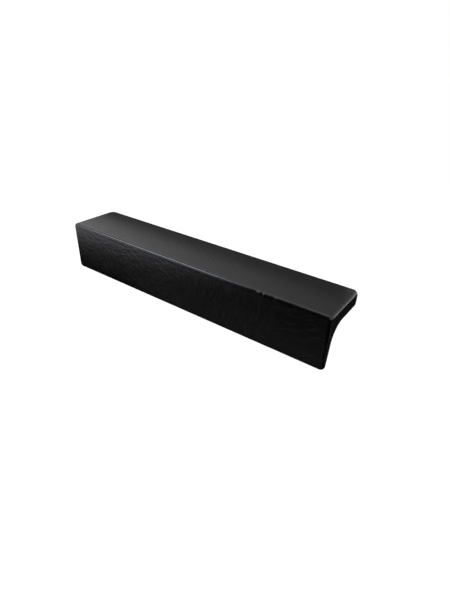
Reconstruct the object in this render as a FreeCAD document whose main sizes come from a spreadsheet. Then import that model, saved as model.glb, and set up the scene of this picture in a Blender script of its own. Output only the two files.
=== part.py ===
"""Tab pull: a cast L-section bar with a flat top plate and a lip that hangs from its front edge.

The frame is that of the mounted pull. The origin is on the rear face, midway between the two
mounting holes. +X runs along the bar, +Y points out of the rear face towards the drawer front
and +Z is up. Lengths are millimetres and angles are degrees.
"""
import FreeCAD, Part
import math
import os
import Sketcher

NODE = "tab_pull"

# Driving dimensions
DIMENSIONS = {
    "length": 152.0,           # bar, end to end
    "depth": 27.5,             # rear face to front face
    "height": 26.0,            # lower edge of the lip to the top face
    "plate_thickness": 7.4,    # top plate
    "lip_tip": 2.8,            # lip thickness at its lower edge
    "lip_taper": 7.5,          # slope of the lip's back face, off the upright front face
    "throat_radius": 7.5,      # hollow between plate and lip, where the fingertips hook in
    "heel_radius": 2.6,        # lower rear edge of the plate
    "end_radius": 2.0,         # upper and lower edges of the ends: corners when seen from the front
    "front_edge_radius": 1.2,  # all round the front face
    "back_edge_radius": 1.5,   # all round the rear face, the underside and the back of the lip
    "hole_spacing": 128.0,     # mounting holes, centre to centre
    "hole_diameter": 3.3,      # tapping size of an M4 thread
    "hole_depth": 10.0,        # full-diameter depth of the blind holes
}

# Sketch geometry numbers and vertex numbers that every sketch shares
HORIZONTAL_AXIS = -1
VERTICAL_AXIS = -2
START = 1
END = 2
CENTRE = 3
ORIGIN_POINT = (HORIZONTAL_AXIS, START)

TOLERANCE = 1e-4


def make_sheet(doc):
    """Spreadsheet with one aliased cell for each driving dimension."""
    sheet = doc.addObject("Spreadsheet::Sheet", "dimensions")
    for row, (alias, value) in enumerate(DIMENSIONS.items(), start=1):
        sheet.set(f"A{row}", alias)
        sheet.set(f"B{row}", str(value))
        sheet.setAlias(f"B{row}", alias)
    doc.recompute()


def new_sketch(body, name, role):
    """Empty sketch on the body's own origin plane of that role."""
    plane = next(item for item in body.Origin.OriginFeatures if item.Role == role)
    sketch = body.newObject("Sketcher::SketchObject", name)
    sketch.AttachmentSupport = [(plane, "")]
    sketch.MapMode = "FlatFace"
    return sketch


def add_dimension(sketch, name, expression, *constraint):
    """Named dimension of a sketch, bound to the sheet."""
    index = sketch.addConstraint(Sketcher.Constraint(*constraint))
    sketch.renameConstraint(index, name)
    sketch.setExpression(f"Constraints.{name}", expression)


def draw_section(body):
    """Section across the bar: plate, throat, tapering lip and rounded heel."""
    size = DIMENSIONS
    top = size["plate_thickness"] / 2
    under = -top
    front = -size["depth"]
    tip = top - size["height"]
    lip_back = front + size["lip_tip"]
    slope = math.radians(90 - size["lip_taper"])
    throat = size["throat_radius"]
    heel = size["heel_radius"]
    sketch = new_sketch(body, "section", "YZ_Plane")

    def line(start, end):
        ends = [FreeCAD.Vector(*point, 0) for point in (start, end)]
        return sketch.addGeometry(Part.LineSegment(*ends))

    def arc(centre, radius, first, last):
        circle = Part.Circle(FreeCAD.Vector(*centre, 0), FreeCAD.Vector(0, 0, 1), radius)
        return sketch.addGeometry(Part.ArcOfCircle(circle, math.radians(first), math.radians(last)))

    # The outline goes round from the top of the rear face; the constraints settle its exact form
    throat_low = under - throat
    root = lip_back + (throat_low - tip) / math.tan(slope)
    top_line = line((0, top), (front, top))
    front_line = line((front, top), (front, tip))
    tip_line = line((front, tip), (lip_back, tip))
    lip_line = line((lip_back, tip), (root, throat_low))
    throat_arc = arc((root + throat, throat_low), throat, 90, 180)
    under_line = line((root + throat, under), (-heel, under))
    heel_arc = arc((-heel, under + heel), heel, 270, 360)
    rear_line = line((0, under + heel), (0, top))

    corners = ((top_line, front_line), (front_line, tip_line), (tip_line, lip_line), (rear_line, top_line))
    for first, second in corners:
        sketch.addConstraint(Sketcher.Constraint("Coincident", first, END, second, START))
    for level in (top_line, tip_line, under_line):
        sketch.addConstraint(Sketcher.Constraint("Horizontal", level))
    for upright in (front_line, rear_line):
        sketch.addConstraint(Sketcher.Constraint("Vertical", upright))
    for straight, end, curve, curve_end in (
        (lip_line, END, throat_arc, END),
        (under_line, START, throat_arc, START),
        (under_line, END, heel_arc, START),
        (rear_line, START, heel_arc, END),
    ):
        sketch.addConstraint(Sketcher.Constraint("Tangent", straight, end, curve, curve_end))
    sketch.addConstraint(Sketcher.Constraint("PointOnObject", rear_line, END, VERTICAL_AXIS))

    add_dimension(
        sketch, "top_level", "dimensions.plate_thickness / 2",
        "DistanceY", *ORIGIN_POINT, rear_line, END, top,
    )
    add_dimension(
        sketch, "depth", "dimensions.depth",
        "DistanceX", top_line, END, top_line, START, size["depth"],
    )
    add_dimension(
        sketch, "height", "dimensions.height",
        "DistanceY", front_line, END, front_line, START, size["height"],
    )
    add_dimension(
        sketch, "plate_thickness", "dimensions.plate_thickness",
        "DistanceY", under_line, START, top_line, START, size["plate_thickness"],
    )
    add_dimension(
        sketch, "lip_tip", "dimensions.lip_tip",
        "DistanceX", tip_line, START, tip_line, END, size["lip_tip"],
    )
    add_dimension(sketch, "lip_slope", "(90 - dimensions.lip_taper) * 1 deg", "Angle", lip_line, slope)
    add_dimension(sketch, "throat_radius", "dimensions.throat_radius", "Radius", throat_arc, throat)
    add_dimension(sketch, "heel_radius", "dimensions.heel_radius", "Radius", heel_arc, heel)
    return sketch


def round_edges(body, name, base, test, radius):
    """Fillet on the edges of the base whose middle passes the test; it follows tangent edges on."""
    names = []
    for number, edge in enumerate(base.Shape.Edges, start=1):
        middle = edge.valueAt((edge.FirstParameter + edge.LastParameter) / 2)
        if test(middle):
            names.append(f"Edge{number}")
    fillet = body.newObject("PartDesign::Fillet", name)
    fillet.Base = (base, names)
    fillet.setExpression("Radius", f"dimensions.{radius}")
    body.Document.recompute()
    return fillet


def near(value, target):
    return abs(value - target) < TOLERANCE


def drill_mounting_holes(body):
    """Two blind holes for the fixing screws, in the rear face, level with the middle of the plate."""
    reach = DIMENSIONS["hole_spacing"] / 2
    radius = DIMENSIONS["hole_diameter"] / 2
    sketch = new_sketch(body, "hole_centres", "XZ_Plane")
    for name, side in (("left", -1), ("right", 1)):
        circle = Part.Circle(FreeCAD.Vector(side * reach, 0, 0), FreeCAD.Vector(0, 0, 1), radius)
        hole = sketch.addGeometry(circle)
        sketch.addConstraint(Sketcher.Constraint("PointOnObject", hole, CENTRE, HORIZONTAL_AXIS))
        add_dimension(sketch, f"{name}_radius", "dimensions.hole_diameter / 2", "Radius", hole, radius)
        span = (*ORIGIN_POINT, hole, CENTRE) if side > 0 else (hole, CENTRE, *ORIGIN_POINT)
        add_dimension(sketch, f"{name}_reach", "dimensions.hole_spacing / 2", "DistanceX", *span, reach)
    body.Document.recompute()
    holes = body.newObject("PartDesign::Hole", "mounting_holes")
    holes.Profile = sketch
    holes.DepthType = "Dimension"
    holes.DrillPoint = "Angled"
    holes.Reversed = True
    holes.setExpression("Diameter", "dimensions.hole_diameter")
    holes.setExpression("Depth", "dimensions.hole_depth")
    body.Document.recompute()


def make_pull(doc):
    """The whole casting: the section run out to its length, its edges eased, its holes drilled."""
    end = DIMENSIONS["length"] / 2
    front = -DIMENSIONS["depth"]
    top = DIMENSIONS["plate_thickness"] / 2
    tip = top - DIMENSIONS["height"]

    body = doc.addObject("PartDesign::Body", NODE)
    body.Label = NODE
    section = draw_section(body)
    doc.recompute()
    bar = body.newObject("PartDesign::Pad", "bar")
    bar.Profile = section
    bar.SideType = "Symmetric"
    bar.setExpression("Length", "dimensions.length")
    doc.recompute()

    def on_end_corner(point):
        return near(abs(point.x), end) and (near(point.z, top) or near(point.z, tip))

    def on_front(point):
        return near(point.y, front)

    def on_rear(point):
        return near(point.y, 0)

    ends = round_edges(body, "end_edges", bar, on_end_corner, "end_radius")
    fronts = round_edges(body, "front_edges", ends, on_front, "front_edge_radius")
    backs = round_edges(body, "back_edges", fronts, on_rear, "back_edge_radius")
    undrilled = backs.Shape.Volume
    drill_mounting_holes(body)
    if not body.Shape.Volume < undrilled:
        raise RuntimeError("the mounting holes took nothing away")
    return body


def main():
    doc = FreeCAD.newDocument(NODE)
    make_sheet(doc)
    pull = make_pull(doc)
    doc.recompute()

    for item in doc.Objects:
        if "Invalid" in item.State or "Error" in item.State:
            raise RuntimeError(f"{item.Label} did not build: {item.State}")
        if item.isDerivedFrom("Sketcher::SketchObject") and not item.FullyConstrained:
            raise RuntimeError(f"{item.Label} is not fully constrained")
    if pull.Shape.isNull() or not pull.Shape.isValid():
        raise RuntimeError(f"{pull.Label} has no valid shape")

    os.makedirs("parts", exist_ok=True)
    pull.Shape.exportStep(f"parts/{pull.Label}.step")
    box = pull.Shape.optimalBoundingBox()
    volume = pull.Shape.Volume / 1000
    print(f"{pull.Label}: {box.XLength:.2f} x {box.YLength:.2f} x {box.ZLength:.2f} mm, {volume:.2f} cm3")


main()
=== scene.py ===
"""Looks of the tab pull: a black cast bar, satin smooth on top, with a finely worked front face.

Everything is in metres, in the frame of the part: +X along the bar, +Y out of its rear face, +Z up.
"""
import math

import bmesh
import bpy
import numpy as np
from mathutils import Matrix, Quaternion, Vector, noise


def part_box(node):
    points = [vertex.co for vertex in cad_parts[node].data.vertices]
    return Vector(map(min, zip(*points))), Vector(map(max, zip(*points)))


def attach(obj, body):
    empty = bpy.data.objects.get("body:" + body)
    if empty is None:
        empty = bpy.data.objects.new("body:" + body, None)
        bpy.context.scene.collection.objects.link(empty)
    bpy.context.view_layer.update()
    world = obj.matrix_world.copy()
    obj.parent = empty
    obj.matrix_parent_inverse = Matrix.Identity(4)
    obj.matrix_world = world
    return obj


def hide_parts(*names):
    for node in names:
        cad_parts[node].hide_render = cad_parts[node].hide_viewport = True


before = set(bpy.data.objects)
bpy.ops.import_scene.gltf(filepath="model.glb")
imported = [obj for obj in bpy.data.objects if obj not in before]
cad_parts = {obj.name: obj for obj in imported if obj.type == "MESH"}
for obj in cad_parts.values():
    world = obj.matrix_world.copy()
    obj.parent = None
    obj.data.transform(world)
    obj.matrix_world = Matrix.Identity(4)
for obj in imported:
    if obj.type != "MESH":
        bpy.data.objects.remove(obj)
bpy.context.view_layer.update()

MM = 0.001
NODE = "tab_pull"
BODY = "root"

# Section of the bar
low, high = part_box(NODE)
HALF_LENGTH = (high.x - low.x) / 2
FRONT = low.y
TOP = high.z
TIP = low.z
UNDER = -TOP
LIP_TIP = 2.8 * MM
LIP_TAPER = math.radians(7.5)
THROAT_RADIUS = 7.5 * MM
HEEL_RADIUS = 2.6 * MM
END_RADIUS = 2.0 * MM
FRONT_RADIUS = 1.2 * MM
BACK_RADIUS = 1.5 * MM

# Hand easing of the ends; the rear corners have to be larger than the end rounding
LEFT_REAR_CORNER = 3.6 * MM
RIGHT_REAR_CORNER = 2.2 * MM
END_HEEL = 4.2 * MM
RIGHT_END_RADIUS = 1.15 * MM

# Mounting holes
HOLE_REACH = 64.0 * MM
HOLE_DEPTH = 10.0 * MM
THREAD_MINOR = 1.65 * MM
THREAD_MAJOR = 2.0 * MM
THREAD_PITCH = 0.7 * MM
COUNTERSINK = 0.12 * MM
DRILL_POINT = 0.6 * THREAD_MINOR

# Fineness of the mesh
STEP = 0.32 * MM
FRONT_ROWS = 72
ARC_POINTS = 8
END_RINGS = 18
MERGE_DISTANCE = 0.0001 * MM
CREASE_ANGLE = math.radians(40)

# Front face: depth of its own finish, relief, and nicks in its upper edge (place, half length, depth)
FRONT_SKIN = 0.3 * MM
RELIEF_HEIGHT = 0.05 * MM
NICKS = (
    (42.0 * MM, 2.2 * MM, 0.08 * MM),
    (45.2 * MM, 1.0 * MM, 0.06 * MM),
    (50.4 * MM, 1.8 * MM, 0.07 * MM),
)


def lip_back(z):
    """Depth of the lip's sloping back face at a height."""
    return FRONT + LIP_TIP + (z - TIP) * math.tan(LIP_TAPER)


def corner(radius, past, count):
    """Rounding of a face's rim, at a slice that far past the start of the end rounding.

    Gives, from the outer surface to the face, how far each point lies in from the face and how far
    it stands off the level where the end rounding has its centre.
    """
    inner = END_RADIUS - radius
    last = math.acos(min(1.0, max(0.0, (past - inner) / radius)))
    turns = np.linspace(0.0, last, count)
    reach = inner + radius * np.cos(turns)
    stand = np.sqrt(np.maximum(reach ** 2 - past ** 2, 0.0))
    return radius * (1 - np.sin(turns)), stand


def between(start, end, count):
    """Points strictly between two ends."""
    share = np.linspace(0.0, 1.0, count + 2)[1:-1, None]
    return np.asarray(start) * (1 - share) + np.asarray(end) * share


def slice_outline(past):
    """Outline of the bar, as depth and height, at a slice that far past the start of the end rounding."""
    front_in, front_off = corner(FRONT_RADIUS, past, ARC_POINTS)
    back_in, back_off = corner(BACK_RADIUS, past, ARC_POINTS)
    upper = TOP - END_RADIUS
    lower = TIP + END_RADIUS
    inset = back_in[-1]
    slope = np.array([math.cos(LIP_TAPER), -math.sin(LIP_TAPER)])

    front_top = np.column_stack([FRONT + front_in, upper + front_off])
    front_low = np.column_stack([FRONT + front_in, lower - front_off])[::-1]
    rear_top = np.column_stack([-back_in, upper + back_off])[::-1]
    lip_height = lower - back_off
    lip_low = np.column_stack([lip_back(lip_height) - back_in / slope[0], lip_height])

    throat_z = UNDER - THROAT_RADIUS
    throat_y = lip_back(throat_z) + THROAT_RADIUS / slope[0]
    turns = np.linspace(math.pi - LIP_TAPER, math.pi / 2, 2 * ARC_POINTS)
    throat = np.column_stack([np.cos(turns), np.sin(turns)]) * (THROAT_RADIUS + inset)
    throat += (throat_y, throat_z)
    turns = np.linspace(-math.pi / 2, 0.0, ARC_POINTS)
    heel = np.column_stack([np.cos(turns), np.sin(turns)]) * (HEEL_RADIUS - inset)
    heel += (-HEEL_RADIUS, UNDER + HEEL_RADIUS)

    return np.concatenate([
        front_top,
        between(front_top[-1], front_low[0], FRONT_ROWS),
        front_low,
        between(front_low[-1], lip_low[0], 1),
        lip_low,
        between(lip_low[-1], throat[0], 8),
        throat,
        between(throat[-1], heel[0], 8),
        heel,
        between(heel[-1], rear_top[0], 3),
        rear_top,
        between(rear_top[-1], front_top[0], 18),
    ])


def slice_places():
    """Places of the slices along the bar, with how far each is past the start of the end rounding."""
    straight = HALF_LENGTH - END_RADIUS
    steps = round(2 * straight / STEP)
    rings = END_RADIUS * np.sin(np.linspace(0, math.pi / 2, END_RINGS + 1)[1:])
    places = [(x, 0.0) for x in np.linspace(-straight, straight, steps + 1)]
    left = [(-straight - past, past) for past in rings[::-1]]
    right = [(straight + past, past) for past in rings]
    return left + places + right


def streaks(x, z, along, across, tilt, seed):
    """Noise at a point of the front face, drawn out to strokes of a given length, width and tilt."""
    u = x * math.cos(tilt) + z * math.sin(tilt)
    v = z * math.cos(tilt) - x * math.sin(tilt)
    return noise.noise(Vector((u / along, v / across, seed)))


def smooth(start, end, value):
    """Eases from 0 to 1 between two values."""
    share = min(1.0, max(0.0, (value - start) / (end - start)))
    return share * share * (3 - 2 * share)


def relief(x, z):
    """Height of the front face's worked surface, about -1 to 1.

    Wavy strokes that fall to the right give way to upright striations, then to strokes that rise.
    """
    bend_reach = 1.2 * MM
    bend = bend_reach * noise.noise(Vector((x / (7 * MM), z / (5 * MM), 3.7)))
    left = streaks(x, z + 0.6 * bend, along=2.8 * MM, across=0.9 * MM, tilt=-0.4, seed=1.3)
    left += 0.6 * streaks(x + bend, z, along=2.2 * MM, across=0.9 * MM, tilt=0.1, seed=8.1)
    upright = 1.1 * streaks(x + 0.6 * bend, z, along=0.75 * MM, across=5.0 * MM, tilt=-0.15, seed=5.5)
    upright += 0.4 * streaks(x, z + bend, along=1.1 * MM, across=2.5 * MM, tilt=-0.3, seed=2.9)
    right = streaks(x, z + bend, along=4.5 * MM, across=1.2 * MM, tilt=0.45, seed=4.2)
    to_upright = smooth(-8 * MM, 20 * MM, x)
    to_right = smooth(44 * MM, 58 * MM, x)
    mixed = left * (1 - to_upright) + upright * to_upright
    return mixed * (1 - to_right) + right * to_right


def work_front(points):
    """Presses the relief into the points that lie on the front face."""
    margin = 1.2 * MM
    flat_limit = FRONT + 0.02 * MM
    ground = 0.5
    for point in points:
        if point[1] > flat_limit:
            continue
        gap = min(TOP - point[2], point[2] - TIP, HALF_LENGTH - abs(point[0])) - FRONT_RADIUS
        fade = smooth(0.0, margin, gap)
        point[1] += RELIEF_HEIGHT * fade * (ground + relief(point[0], point[2]))


def nick_edge(points):
    """Dents the front's upper edge at each nick, in and down alike."""
    inner = 0.5 * FRONT_RADIUS
    outer = 1.8 * FRONT_RADIUS
    slant = math.sqrt(0.5)
    for point in points:
        gap = math.hypot(point[1] - FRONT, TOP - point[2])
        near = 1 - smooth(inner, outer, gap)
        for place, half, depth in NICKS:
            share = (point[0] - place) / half
            if near > 0 and abs(share) < 1:
                dent = depth * near * (1 - share ** 2) ** 2
                point[1] += dent * slant
                point[2] -= dent * slant


def rounding_inset(radius, depth):
    """How far a rounding of that radius has drawn in, at a depth past its start."""
    reach = min(radius, max(0.0, depth))
    return radius - math.sqrt(radius ** 2 - reach ** 2)


def ease_rear_corners(points):
    """Rounds the rear corners in plan, level by level, so that each level ends in a quarter ellipse."""
    for point in points:
        radius = LEFT_REAR_CORNER if point[0] < 0 else RIGHT_REAR_CORNER
        along = abs(point[0]) - (HALF_LENGTH - radius)
        across = point[1] + radius
        if along <= 0 or across <= 0:
            continue
        above = point[2] - TOP
        below = UNDER - point[2]
        wide = radius - rounding_inset(END_RADIUS, above + END_RADIUS)
        wide -= rounding_inset(BACK_RADIUS, below + BACK_RADIUS)
        deep = radius - rounding_inset(BACK_RADIUS, above + BACK_RADIUS)
        deep -= rounding_inset(HEEL_RADIUS, below + HEEL_RADIUS)
        across_share = min(1.0, across / deep)
        along_share = min(1.0, along / wide)
        point[0] -= math.copysign(along * (1 - math.sqrt(1 - across_share ** 2 / 2)), point[0])
        point[1] -= across * (1 - math.sqrt(1 - along_share ** 2 / 2))


def rounded_square(angle, half, radius):
    """Distance from the middle of a square with rounded corners to its rim, in the first quadrant."""
    straight = half - radius
    if half * math.tan(angle) <= straight:
        return half / math.cos(angle)
    if half <= straight * math.tan(angle):
        return half / math.sin(angle)
    lean = math.cos(angle) + math.sin(angle)
    return straight * lean + math.sqrt(radius ** 2 - straight ** 2 * (2 - lean ** 2))


def tighten_right_end(points):
    """Draws the upper rounding of the right end out to a tighter one, up to the rear corner."""
    for point in points:
        along = point[0] - (HALF_LENGTH - END_RADIUS)
        above = point[2] - (TOP - END_RADIUS)
        if along <= 0 or above <= 0:
            continue
        rim = rounded_square(math.atan2(above, along), END_RADIUS, RIGHT_END_RADIUS)
        fade = 1 - smooth(-3 * RIGHT_REAR_CORNER, -RIGHT_REAR_CORNER, point[1])
        stretch = (rim / END_RADIUS - 1) * fade
        point[0] += along * stretch
        point[2] += above * stretch


def ease_end_heels(points):
    """Rounds the heel further towards the ends, by drawing points back onto a larger rounding."""
    for point in points:
        along = abs(point[0]) - (HALF_LENGTH - END_HEEL)
        across = point[1] + END_HEEL
        below = UNDER + END_HEEL - point[2]
        reach = math.hypot(across, below)
        if along > 0 and across > 0 and below > 0 and reach > END_HEEL:
            pull = (1 - END_HEEL / reach) * smooth(0.0, END_HEEL, along)
            point[1] -= across * pull
            point[2] += below * pull


def new_object(name, mesh):
    """Object of the scene that holds a mesh."""
    made = bpy.data.objects.new(name, mesh)
    bpy.context.scene.collection.objects.link(made)
    return made


def join_rings(build, ring, next_ring):
    """Band of faces between two rings with the same number of points."""
    for step in range(len(ring)):
        after = (step + 1) % len(ring)
        build.faces.new((ring[step], ring[after], next_ring[after], next_ring[step]))


def make_bar():
    """The whole casting, lofted slice by slice, before its holes are drilled."""
    slices = [(x, slice_outline(past)) for x, past in slice_places()]
    count = len(slices[0][1])
    points = np.concatenate([np.column_stack([np.full(count, x), ring]) for x, ring in slices])
    work_front(points)
    nick_edge(points)
    tighten_right_end(points)
    ease_rear_corners(points)
    ease_end_heels(points)

    build = bmesh.new()
    verts = [build.verts.new(point) for point in points]
    for index in range(len(slices) - 1):
        ring = verts[index * count:(index + 1) * count]
        next_ring = verts[(index + 1) * count:(index + 2) * count]
        join_rings(build, ring, next_ring)
    build.faces.new(verts[:count])
    build.faces.new(verts[-count:])
    bmesh.ops.remove_doubles(build, verts=build.verts, dist=MERGE_DISTANCE)
    bmesh.ops.dissolve_degenerate(build, edges=build.edges, dist=MERGE_DISTANCE)

    # The two end faces have many corners, and become triangles of a good shape
    ends = [face for face in build.faces if len(face.verts) > 4]
    bmesh.ops.triangulate(build, faces=ends, ngon_method="BEAUTY")
    bmesh.ops.recalc_face_normals(build, faces=build.faces)
    mesh = bpy.data.meshes.new(NODE + "_looks")
    build.to_mesh(mesh)
    build.free()
    return new_object("pull_casting", mesh)


def make_thread_cutter(x):
    """Screw-shaped solid that leaves a tapped, countersunk hole when it is cut out of the rear face."""
    around = 40
    per_turn = 8
    rows = round(HOLE_DEPTH / THREAD_PITCH * per_turn)
    proud = 0.3 * MM
    build = bmesh.new()
    rings = []
    for row in range(rows + 1):
        depth = -proud + (HOLE_DEPTH + proud) * row / rows
        ring = []
        for step in range(around):
            turn = step / around
            phase = (depth / THREAD_PITCH + turn) % 1.0
            # Flat crests and flat roots, with straight flanks between them
            crest = min(1.0, max(0.0, 1.6 * abs(2 * phase - 1) - 0.3))
            threaded = THREAD_MINOR + (THREAD_MAJOR - THREAD_MINOR) * crest
            radius = max(threaded, THREAD_MAJOR + COUNTERSINK - depth)
            angle = 2 * math.pi * turn
            place = (x + radius * math.cos(angle), -depth, radius * math.sin(angle))
            ring.append(build.verts.new(place))
        rings.append(ring)
    for near_ring, far_ring in zip(rings, rings[1:]):
        join_rings(build, near_ring, far_ring)
    last = rings[-1]
    point = build.verts.new((x, -HOLE_DEPTH - DRILL_POINT, 0))
    for step in range(around):
        build.faces.new((last[step], last[(step + 1) % around], point))
    build.faces.new(rings[0])
    bmesh.ops.recalc_face_normals(build, faces=build.faces)
    mesh = bpy.data.meshes.new("cutter")
    build.to_mesh(mesh)
    build.free()
    return new_object("cutter", mesh)


def drill(bar):
    """Cuts the two tapped holes into the bar."""
    for side in (-1, 1):
        cutter = make_thread_cutter(side * HOLE_REACH)
        cut = bar.modifiers.new("hole", "BOOLEAN")
        cut.operation = "DIFFERENCE"
        cut.solver = "MANIFOLD"
        cut.object = cutter
        drilled = bar.evaluated_get(bpy.context.evaluated_depsgraph_get())
        mesh = bpy.data.meshes.new_from_object(drilled)
        bar.modifiers.clear()
        bar.data = mesh
        bpy.data.objects.remove(cutter)


def edge_share(point):
    """How near a point is to an outer edge of the bar, from 0 to 1.

    It is the second smallest distance to the bar's outer faces that counts.
    """
    gaps = sorted((
        point[1] - FRONT,
        -point[1],
        TOP - point[2],
        point[2] - TIP,
        HALF_LENGTH - abs(point[0]),
    ))
    inner = 0.5 * FRONT_RADIUS
    outer = 2.4 * FRONT_RADIUS
    return 1 - smooth(inner, outer, gaps[1])


def mark_surface(mesh):
    """Stores, for the finishes, how near each point is to an edge and how high in the front's relief."""
    edge = [edge_share(vertex.co) for vertex in mesh.vertices]
    crest = [
        relief(vertex.co.x, vertex.co.z) if vertex.co.y < FRONT + FRONT_SKIN else 0.0
        for vertex in mesh.vertices
    ]
    mesh.attributes.new("edge", "FLOAT", "POINT").data.foreach_set("value", edge)
    mesh.attributes.new("crest", "FLOAT", "POINT").data.foreach_set("value", crest)


def cloud(tree, where, scale, detail):
    """Noise texture, read at the given coordinates."""
    made = tree.nodes.new("ShaderNodeTexNoise")
    made.inputs["Scale"].default_value = scale
    made.inputs["Detail"].default_value = detail
    tree.links.new(where, made.inputs["Vector"])
    return made.outputs["Fac"]


def stored(tree, attribute):
    """Value that the mesh stores under a name."""
    made = tree.nodes.new("ShaderNodeAttribute")
    made.attribute_name = attribute
    return made.outputs["Fac"]


def spread(tree, value, first, last, lowest, highest):
    """Maps one range of values onto another, and holds it there."""
    made = tree.nodes.new("ShaderNodeMapRange")
    made.inputs["From Min"].default_value = first
    made.inputs["From Max"].default_value = last
    made.inputs["To Min"].default_value = lowest
    made.inputs["To Max"].default_value = highest
    tree.links.new(value, made.inputs["Value"])
    return made.outputs["Result"]


def combine(tree, operation, one, other):
    """Outcome of an arithmetic operation on two values."""
    made = tree.nodes.new("ShaderNodeMath")
    made.operation = operation
    tree.links.new(one, made.inputs[0])
    tree.links.new(other, made.inputs[1])
    return made.outputs["Value"]


def blend(tree, share, one, other):
    """Mix of two colours, each a plain colour or the outcome of other nodes."""
    made = tree.nodes.new("ShaderNodeMix")
    made.data_type = "RGBA"
    tree.links.new(share, made.inputs["Factor"])
    for socket, colour in (("A", one), ("B", other)):
        if isinstance(colour, tuple):
            made.inputs[socket].default_value = colour
        else:
            tree.links.new(colour, made.inputs[socket])
    return made.outputs["Result"]


def press(tree, height, strength, distance, normal=None):
    """Surface direction after a bump, on top of an earlier one if it is given."""
    made = tree.nodes.new("ShaderNodeBump")
    made.inputs["Strength"].default_value = strength
    made.inputs["Distance"].default_value = distance
    tree.links.new(height, made.inputs["Height"])
    if normal:
        tree.links.new(normal, made.inputs["Normal"])
    return made.outputs["Normal"]


def black(level):
    """Near black, a little blue."""
    blueness = 1.05
    return (level, level, blueness * level, 1)


def finish_colour(tree, place, tone, rim_wear_and_shade_tone):
    """Colour of the casting: clouding first, then a painted highlight along the front's relief, then the
    edges in a given tone, which is paler wear on the satin finish and painted shade along the rims of the
    worked front.
    """
    # Painted highlight: the front's colour turns paler where its stored relief value is high.
    relief_highlight_tone = 0.0065
    edge_band = spread(tree, stored(tree, "edge"), 0.4, 0.9, 0.0, 1.0)
    patches = spread(tree, cloud(tree, place, 420, 4), 0.35, 0.6, 0.0, 1.0)
    wear_and_shade_mask = combine(tree, "MULTIPLY", edge_band, patches)
    relief_highlight = spread(tree, stored(tree, "crest"), 0.0, 0.8, 0.0, 0.7)
    colour = blend(tree, cloud(tree, place, 90, 4), black(0.7 * tone), black(1.3 * tone))
    colour = blend(tree, relief_highlight, colour, black(relief_highlight_tone))
    # The edge tone is paler wear on the satin finish and painted shade along the rims of the worked
    # front.
    return blend(tree, wear_and_shade_mask, colour, black(rim_wear_and_shade_tone))


def finish_roughness(tree, place, roughness):
    """Roughness of the casting: slightly clouded, less a polish that the edges have from use."""
    drift = 0.02
    polish = 0.12
    clouded = spread(tree, cloud(tree, place, 120, 2), 0.3, 0.7, roughness - drift, roughness + drift)
    polished = spread(tree, stored(tree, "edge"), 0.0, 1.0, 0.0, polish)
    return combine(tree, "SUBTRACT", clouded, polished)


def finish_bump(tree, place, streak):
    """Bump of the casting: grain, then streaks aslant from the rear edge's left to the front's right."""
    drawn = tree.nodes.new("ShaderNodeMapping")
    drawn.vector_type = "TEXTURE"
    drawn.inputs["Rotation"].default_value = (0, 0, math.radians(-36))
    drawn.inputs["Scale"].default_value = (14 * MM, 0.9 * MM, 2 * MM)
    tree.links.new(place, drawn.inputs["Vector"])
    grain = cloud(tree, place, 2600, 3)
    grained = press(tree, grain, strength=0.16, distance=0.1 * MM)
    strokes = cloud(tree, drawn.outputs["Vector"], 1.0, 3)
    return press(tree, strokes, strength=streak, distance=0.08 * MM, normal=grained)


def black_finish(name, tone, rim_wear_and_shade_tone, roughness, streak):
    """Black cast finish: clouded, paler along the front's relief as a painted highlight, edges in their
    own tone (paler wear on the satin finish, painted rim shade on the worked front), glossier on the
    edges, with grain and streaks.
    """
    material = bpy.data.materials.new(name)
    material.use_nodes = True
    tree = material.node_tree
    shader = tree.nodes["Principled BSDF"]
    shader.inputs["IOR"].default_value = 1.5
    shader.inputs["Metallic"].default_value = 0.0
    shader.inputs["Specular Tint"].default_value = (0.94, 0.95, 1.0, 1)
    place = tree.nodes.new("ShaderNodeTexCoord").outputs["Object"]
    tree.links.new(finish_colour(tree, place, tone, rim_wear_and_shade_tone), shader.inputs["Base Color"])
    tree.links.new(finish_roughness(tree, place, roughness), shader.inputs["Roughness"])
    tree.links.new(finish_bump(tree, place, streak), shader.inputs["Normal"])
    return material


def dress(bar):
    """Smooth shading and finishes: the worked finish on the front face, the satin one elsewhere."""
    mesh = bar.data
    mark_surface(mesh)
    mesh.materials.clear()
    satin = black_finish("satin_black", tone=0.0034, rim_wear_and_shade_tone=0.011, roughness=0.30, streak=1.0)
    # The worked front's edge tone is darker than its face: painted shade along its rims.
    worked = black_finish("worked_black", tone=0.0016, rim_wear_and_shade_tone=0.0003, roughness=0.29, streak=0.1)
    mesh.materials.append(satin)
    mesh.materials.append(worked)
    for face in mesh.polygons:
        face.use_smooth = True
        face.material_index = int(face.center.y < FRONT + FRONT_SKIN)
    mesh.set_sharp_from_angle(angle=CREASE_ANGLE)


def floor_finish():
    """Pale matt finish with a faint glow that is seen, also in reflections, but lights nothing."""
    added_glow = 0.2
    material = bpy.data.materials.new("pale_floor")
    material.use_nodes = True
    tree = material.node_tree
    shader = tree.nodes["Principled BSDF"]
    shader.inputs["Base Color"].default_value = (0.8, 0.8, 0.8, 1)
    shader.inputs["Roughness"].default_value = 0.9
    shader.inputs["Specular IOR Level"].default_value = 0.0
    shader.inputs["Emission Color"].default_value = (1, 1, 1, 1)
    path = tree.nodes.new("ShaderNodeLightPath")
    seen = path.outputs["Is Camera Ray"]
    for other in ("Is Glossy Ray", "Is Transmission Ray"):
        seen = combine(tree, "MAXIMUM", seen, path.outputs[other])
    glow = spread(tree, seen, 0.0, 1.0, 0.0, added_glow)
    tree.links.new(glow, shader.inputs["Emission Strength"])
    return material


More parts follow.
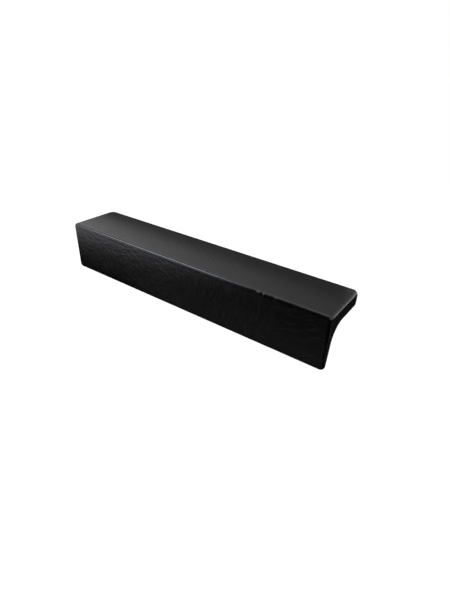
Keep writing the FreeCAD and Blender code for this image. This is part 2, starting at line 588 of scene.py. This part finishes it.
def make_floor():
    """Plain pale floor, some way under the pull, as it hangs clear of the ground when it is fixed."""
    drop = 0.15
    reach = 6.0
    build = bmesh.new()
    bmesh.ops.create_grid(build, x_segments=1, y_segments=1, size=reach)
    mesh = bpy.data.meshes.new("floor")
    build.to_mesh(mesh)
    build.free()
    mesh.materials.append(floor_finish())
    floor = new_object("floor", mesh)
    floor.location.z = TIP - drop


def grade_card(tree, left_glow, right_glow):
    """Brightness of a card that runs from its left side to its right side."""
    across = tree.nodes.new("ShaderNodeSeparateXYZ")
    place = tree.nodes.new("ShaderNodeTexCoord").outputs["Generated"]
    tree.links.new(place, across.inputs["Vector"])
    return spread(tree, across.outputs["X"], 0.0, 1.0, left_glow, right_glow)


def card_finish(name, glow, right_glow):
    """Plain glow, or one that is graded where a second brightness is given."""
    material = bpy.data.materials.new(name)
    material.use_nodes = True
    tree = material.node_tree
    shader = tree.nodes["Principled BSDF"]
    shader.inputs["Base Color"].default_value = (0, 0, 0, 1)
    shader.inputs["Specular IOR Level"].default_value = 0.0
    shader.inputs["Emission Color"].default_value = (1, 1, 1, 1)
    shader.inputs["Emission Strength"].default_value = glow
    if right_glow is not None:
        tree.links.new(grade_card(tree, glow, right_glow), shader.inputs["Emission Strength"])
    return material


def lay_card(name, corners, glow, right_glow=None):
    """Grey card of a given brightness, to shape what the dark finish reflects; nothing else sees it.

    With a second brightness the card is graded from its left side to its right side.
    """
    build = bmesh.new()
    build.faces.new([build.verts.new(Vector(place) * MM) for place in corners])
    mesh = bpy.data.meshes.new(name)
    build.to_mesh(mesh)
    build.free()
    mesh.materials.append(card_finish(name, glow, right_glow))
    card = new_object(name, mesh)
    card.visible_camera = False
    card.visible_diffuse = False
    card.visible_transmission = False
    card.visible_shadow = False


def make_cards():
    """Cards round the pull, each placed by its corners in millimetres."""
    below_lip = 6
    level = TIP / MM - below_lip
    lay_card("card_below", (
        (-300, -45, level),
        (-133, -65, level),
        (-46, -76, level),
        (-6, -86, level),
        (60, -140, level),
        (300, -313, level),
        (400, 150, level),
        (-125, 150, level),
    ), glow=0.01)
    lay_card("card_near", (
        (-120, -54, level + 1),
        (76, -54, level + 1),
        (76, -22, level + 1),
        (10, -22, level + 1),
        (-60, -42, level + 1),
        (-120, -46, level + 1),
    ), glow=0.08)
    lay_card("card_behind", (
        (-220, 8, -30),
        (68, 8, -30),
        (68, 8, 16.5),
        (-220, 8, 16.5),
    ), glow=0.12)
    lay_card("card_far", (
        (-760, 500, 60),
        (20, 500, 60),
        (20, 500, 620),
        (-760, 500, 620),
    ), glow=0.86, right_glow=0.25)
    lay_card("card_far_right", (
        (20, 500, 60),
        (420, 500, 60),
        (420, 500, 620),
        (20, 500, 620),
    ), glow=0.45, right_glow=1.0)
    lay_card("card_front_high", (
        (-107, -163, 450),
        (50, -163, 450),
        (50, -180, 428.5),
        (-40, -180, 428.5),
        (-110, -255, 334),
        (-197, -345, 220),
    ), glow=1.0)
    lay_card("card_front", (
        (-197, -345, 220),
        (-110, -255, 334),
        (-40, -180, 428.5),
        (50, -180, 428.5),
        (20, -650, -165),
        (-348, -650, -165),
    ), glow=0.02)
    lay_card("card_foot", (
        (-175, -380, -160),
        (20, -380, -160),
        (20, -650, -160),
        (-348, -650, -160),
    ), glow=0.02)


def hang_lamp(name, direction, distance, size, radiance, colour=(1, 1, 1)):
    """Square soft lamp that faces the pull, of a given brightness."""
    light = bpy.data.lights.new(name, "AREA")
    light.shape = "SQUARE"
    light.size = size
    light.energy = radiance * math.pi * size ** 2
    light.color = colour
    made = bpy.data.objects.new(name, light)
    bpy.context.scene.collection.objects.link(made)
    toward = Vector(direction).normalized()
    made.location = Vector((0, FRONT / 2, 0)) + toward * distance
    made.rotation_euler = toward.to_track_quat("Z", "Y").to_euler()
    made.visible_camera = False


def make_lights():
    """Even pale surroundings, a soft lamp in front on the left and one behind on the right."""
    world = bpy.data.worlds.new("surroundings")
    world.use_nodes = True
    background = world.node_tree.nodes["Background"]
    background.inputs["Color"].default_value = (1, 1, 1, 1)
    background.inputs["Strength"].default_value = 1.0
    bpy.context.scene.world = world
    left = (-0.63, -0.62, 0.48)
    behind = (0.6, 0.8, 0.03)
    cool = (0.91, 0.92, 1.0)
    hang_lamp("left_lamp", left, distance=0.8, size=0.36, radiance=5.0, colour=cool)
    hang_lamp("rear_lamp", behind, distance=0.9, size=0.22, radiance=1.4)


def make_camera():
    """Camera at the photograph's angle, with its slight roll."""
    place = (0.11922, -0.15879, 0.08922)
    lens = 25.497
    azimuth = math.radians(35.128)
    elevation = math.radians(30.888)
    roll = math.radians(1.92)
    look = Vector((
        -math.sin(azimuth) * math.cos(elevation),
        math.cos(azimuth) * math.cos(elevation),
        -math.sin(elevation),
    ))
    camera = bpy.data.cameras.new("camera")
    camera.lens = lens
    camera.clip_start = 0.01
    made = bpy.data.objects.new("camera", camera)
    bpy.context.scene.collection.objects.link(made)
    made.location = place
    turn = look.to_track_quat("-Z", "Y") @ Quaternion((0, 0, 1), roll)
    made.rotation_euler = turn.to_euler()
    bpy.context.scene.camera = made


bar = make_bar()
drill(bar)
dress(bar)
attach(bar, BODY)
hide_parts(NODE)
make_floor()
make_cards()
make_lights()
make_camera()
bpy.context.scene.view_settings.view_transform = "Standard"
